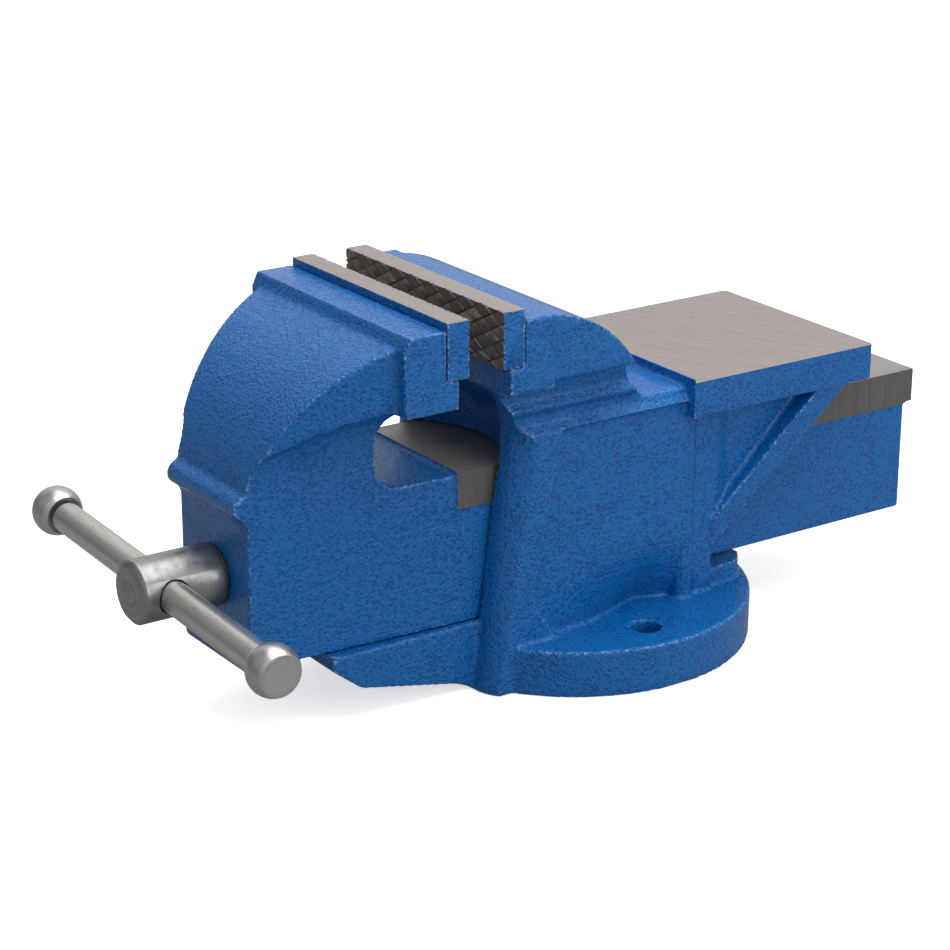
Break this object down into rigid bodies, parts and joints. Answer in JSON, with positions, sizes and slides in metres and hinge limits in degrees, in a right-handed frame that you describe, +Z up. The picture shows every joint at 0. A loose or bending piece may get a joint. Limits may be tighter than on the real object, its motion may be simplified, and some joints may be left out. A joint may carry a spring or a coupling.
{
  "type": "bench vise",
  "caption": "Bench vise with a fixed body on a round bolt-down base, a sliding jaw driven by a screw with a tommy bar, serrated jaw plates and a flat anvil behind the fixed jaw.",
  "frame": {"origin": "centre of the round base on its underside", "axes": "+Z up, +Y towards the anvil, -Y towards the handle, X along the jaws"},
  "size_m": [0.2468, 0.4924, 0.2183],
  "materials": {
    "paint": "gloss hammered blue enamel over cast iron, with ground faces left bare",
    "jaw_steel": "ground tops, dark cross-hatched gripping faces, painted ends",
    "bright_steel": "turned and brushed bright steel",
    "black_steel": "black oxide",
    "nut_iron": "bare grey iron, oiled",
    "bronze": "plain bearing bronze",
    "spring_steel": "drawn spring wire"
  },
  "bodies": {
    "fixed_body": {"fixed_body": "paint", "fixed_jaw_plate": "jaw_steel", "fixed_plate_screw_left": "black_steel", "fixed_plate_screw_right": "black_steel", "spindle_nut": "nut_iron", "nut_bolt_front": "black_steel", "nut_bolt_rear": "black_steel", "nut_washer_front": "bright_steel", "nut_washer_rear": "bright_steel"},
    "moving_jaw": {"moving_jaw": "paint", "moving_jaw_plate": "jaw_steel", "moving_plate_screw_left": "black_steel", "moving_plate_screw_right": "black_steel"},
    "spindle": {"spindle": "bright_steel", "thrust_washer": "bronze", "thrust_spring": "spring_steel", "spring_washer": "bright_steel", "retaining_collar": "black_steel", "collar_pin": "spring_steel"},
    "handle": {"handle_bar": "bright_steel", "handle_knob_left": "bright_steel", "handle_knob_right": "bright_steel"}
  },
  "joints": [
    {"name": "jaw_slide", "type": "slide", "parent": "fixed_body", "child": "moving_jaw", "axis": [0, -1, 0], "range_m": [-0.0205, 0.129]},
    {"name": "spindle_turn", "type": "hinge", "parent": "moving_jaw", "child": "spindle", "pos_m": [0, -0.23, 0.0817], "axis": [0, -1, 0], "range_deg": [-1240, 7750]},
    {"name": "handle_slide", "type": "slide", "parent": "spindle", "child": "handle", "axis": [0.9992, 0, -0.0408], "range_m": [-0.087, 0.09]}
  ],
  "couplings": [
    {"joint": "spindle_turn", "follows": "jaw_slide", "rad_per_m": 1047.2}
  ]
}
